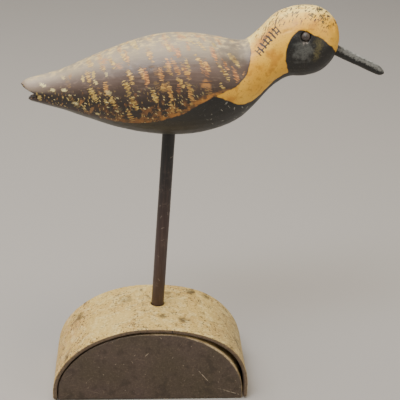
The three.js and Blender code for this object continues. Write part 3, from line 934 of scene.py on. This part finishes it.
for (x0, z0), (x1, z1) in SCRATCHES:
    span = math.hypot(x1 - x0, z1 - z0)
    middle = ((x0 + x1) / 2, (z0 + z1) / 2, 0)
    moved = add_node(tree, "VectorMath", (face_map, middle), operation="SUBTRACT")
    angle = -math.atan2(z1 - z0, x1 - x0)
    level = add_node(tree, "VectorRotate", {"Vector": moved, "Angle": angle}, rotation_type="Z_AXIS")
    scaled = add_node(tree, "VectorMath", (level, (2 / span, 1 / SCRATCH_WIDTH, 0)), operation="MULTIPLY")
    reach = add_node(tree, "VectorMath", (scaled,), operation="LENGTH").outputs["Value"]
    stain = coats(tree, stain, ("#a89a84", (reach, 1.1, 0.7), (fine, 0.4, 0.54), front))
# The sawn edge is painted pale towards the right as painted light in the gap under the strip, and the arris
# gets a painted highlight there.
sawn_wood_painted_lit = add_node(tree, "ValToRGB", (fine,), [(0.35, "#7d6a48"), (0.65, "#d6bf94")])
stain = coats(tree, stain,
              (sawn_wood_painted_lit, (facing, 0.93, 0.72), (axes.outputs["X"], -14, 12, 0.15, 1),
               (patches, 0.4, 0.56, 0.3, 1)),
              ("#f2d498", (facing, 0.4, 0.1), (axes.outputs["X"], 5, 30)))
finish(tree, stain, 0.55, fine, 0.15)
block_skin.materials.append(block_stain)

# %% [markdown]
# The strip over the block is a thin piece of wood, bent and painted cream. Its
# feet are rounded off, and the paint wraps a little way over the worn front edge.

# %% Strip
STRIP_FOOT_ROUNDING = 2.6
strip = welded_copy("base_band", "bent_strip")
strip_skin = reskin(strip)
strip_low, strip_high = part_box("base_band")


def round_feet(mesh, radius):
    """Draws the outer corners of both feet in to a quarter circle."""
    for corner in mesh.vertices:
        out = abs(corner.co.x) / MM - (strip_high.x / MM - radius)
        low = strip_low.z / MM + radius - corner.co.z / MM
        reach = math.hypot(out, low)
        if out > 0 and low > 0 and reach > radius:
            side = math.copysign(1, corner.co.x)
            corner.co.x = side * (strip_high.x - (radius - out * radius / reach) * MM)
            corner.co.z = strip_low.z + (radius - low * radius / reach) * MM
    mesh.update()


def weathered(place):
    """Soft waves and pits, in mm."""
    waves = noise.noise(place / 14) * 0.14
    pits = max(0.0, noise.noise(place / 2.6) - 0.46) * 1.5
    return waves - pits - 0.05


round_feet(strip_skin, STRIP_FOOT_ROUNDING)
relieve(strip_skin, weathered)

# %% [markdown]
# Specks are strewn over the strip as if it lay flat, so it gets a map of the way
# along the bend and across it. Stains that show at one place only are a short
# list, in millimetres.

# %% The strip's map and stains
BEND_RADIUS = 68
CRACK_X = 16
STAINS = {
    "knot": ((31.0, 28.3, 56.9), 4.4, 0.9),
    "knot below it": ((41.8, 29.0, 50.2), 4.2, 0.9),
    "knot beside the rod": ((13.5, 21.0, 60.0), 3.0, 0.5),
    "scorch": ((25.0, -18.3, 58.4), 4.4, 0.8),
    "cluster on the right": ((62.6, -9.0, 32.0), 6.5, 0.9),
    "cluster low on the right": ((66.0, -14.0, 22.0), 4.5, 0.8),
    "streak on the left": ((-55.0, 16.1, 41.4), 5.5, 0.7),
    "low on the left": ((-61.8, -27.0, 34.0), 4.4, 0.85),
    "in front of the rod": ((9.4, -14.0, 60.5), 2.8, 0.7),
    "behind on the left": ((-20.0, 14.0, 59.0), 6.0, 0.55),
}
strip_places = corner_values(strip_skin, "co") / MM
strip_normals = corner_values(strip_skin, "normal")
bend_angle = np.arctan2(strip_places[:, 2], -strip_places[:, 0])
keep(strip_skin, "strip_map", np.stack([bend_angle * BEND_RADIUS, strip_places[:, 1]], 1))
keep(strip_skin, "outer", strip_normals[:, 2] * np.sin(bend_angle) - strip_normals[:, 0] * np.cos(bend_angle))
keep(strip_skin, "facing", np.abs(strip_normals[:, 1]))
print(len(STAINS), "stains on a map", round(float(np.ptp(bend_angle)) * BEND_RADIUS), "mm long")

# %% [markdown]
# The paint is old cream, grimed and rubbed: paler in small patches, pinkish on the left, darker and greyer
# towards the right, with brown specks and pits. Its cut edges were hardly painted and are grey-brown with
# dirt. Its inside is painted darker as painted shade under the strip.

# %% Strip paint
cream, tree, place = new_finish("aged_cream_paint_on_bent_wood")
strip_map = add_node(tree, "Attribute", attribute_name="strip_map").outputs["Vector"]
outer = add_node(tree, "Attribute", attribute_name="outer").outputs["Fac"]
facing = add_node(tree, "Attribute", attribute_name="facing").outputs["Fac"]
broad = add_node(tree, "TexNoise", {"Vector": place, "Scale": 1 / 20, "Detail": 4.0}).outputs["Fac"]
patchy = add_node(tree, "TexNoise", {"Vector": place, "Scale": 1 / 6, "Detail": 5.0}).outputs["Fac"]
fine = add_node(tree, "TexNoise", {"Vector": place, "Scale": 1 / 1.8, "Detail": 4.0,
                                   "Roughness": 0.75}).outputs["Fac"]
axes = add_node(tree, "SeparateXYZ", {"Vector": place})
specks = scattered_strokes(tree, strip_map, (3.2, 3.2), (0.5, 1.05), (0, 180), 0.6, 0.9, 0.5)[0]
blots = scattered_strokes(tree, strip_map, (11.0, 11.0), (1.6, 2.6), (0, 180), 0.45, 1.6, 0.6)[0]
paint = add_node(tree, "ValToRGB", (broad,), [(0.3, "#ba9852"), (0.5, "#c7a85d"), (0.75, "#d2b76d")])
paint = coats(tree, paint,
              ("#bd8c5e", (axes.outputs["X"], -38, -62, 0, 0.5), (patchy, 0.4, 0.55)),
              ("#9f8a64", (axes.outputs["X"], 34, 66, 0, 0.5)),
              ("#dcc88a", (patchy, 0.52, 0.6, 0, 0.5)),
              ("#95804e", (fine, 0.54, 0.66, 0, 0.65)),
              ("#e9d692", (fine, 0.47, 0.36, 0, 0.7)),
              ("#3c2e1a", specks, (broad, 0.6, 0.46)),
              ("#544226", blots, (fine, 0.42, 0.52), 0.85))
for at, reach, depth in STAINS.values():
    stained = blot(tree, place, at, reach, patchy)
    paint = coats(tree, paint, ("#3a2c19", stained, (fine, 0.3, 0.45, 0.4, 1), depth))
cut_edge = add_node(tree, "ValToRGB", (fine,), [(0.35, "#4c3d2c"), (0.65, "#705e47")])
from_crack = add_node(tree, "Math", (axes.outputs["X"], CRACK_X), operation="SUBTRACT")
crack_gap = add_node(tree, "Math", (from_crack,), operation="ABSOLUTE")
# The dark inside of the strip is painted shade.
paint = coats(tree, paint,
              (cut_edge, (facing, 0.62, 0.85)),
              ("#1a120c", (facing, 0.62, 0.85), (axes.outputs["Y"], -30, -33), (crack_gap, 0.6, 0.25)),
              ("#46372a", (outer, -0.1, -0.5)))
finish(tree, paint, 0.6, fine, 0.25)
strip_skin.materials.append(cream)
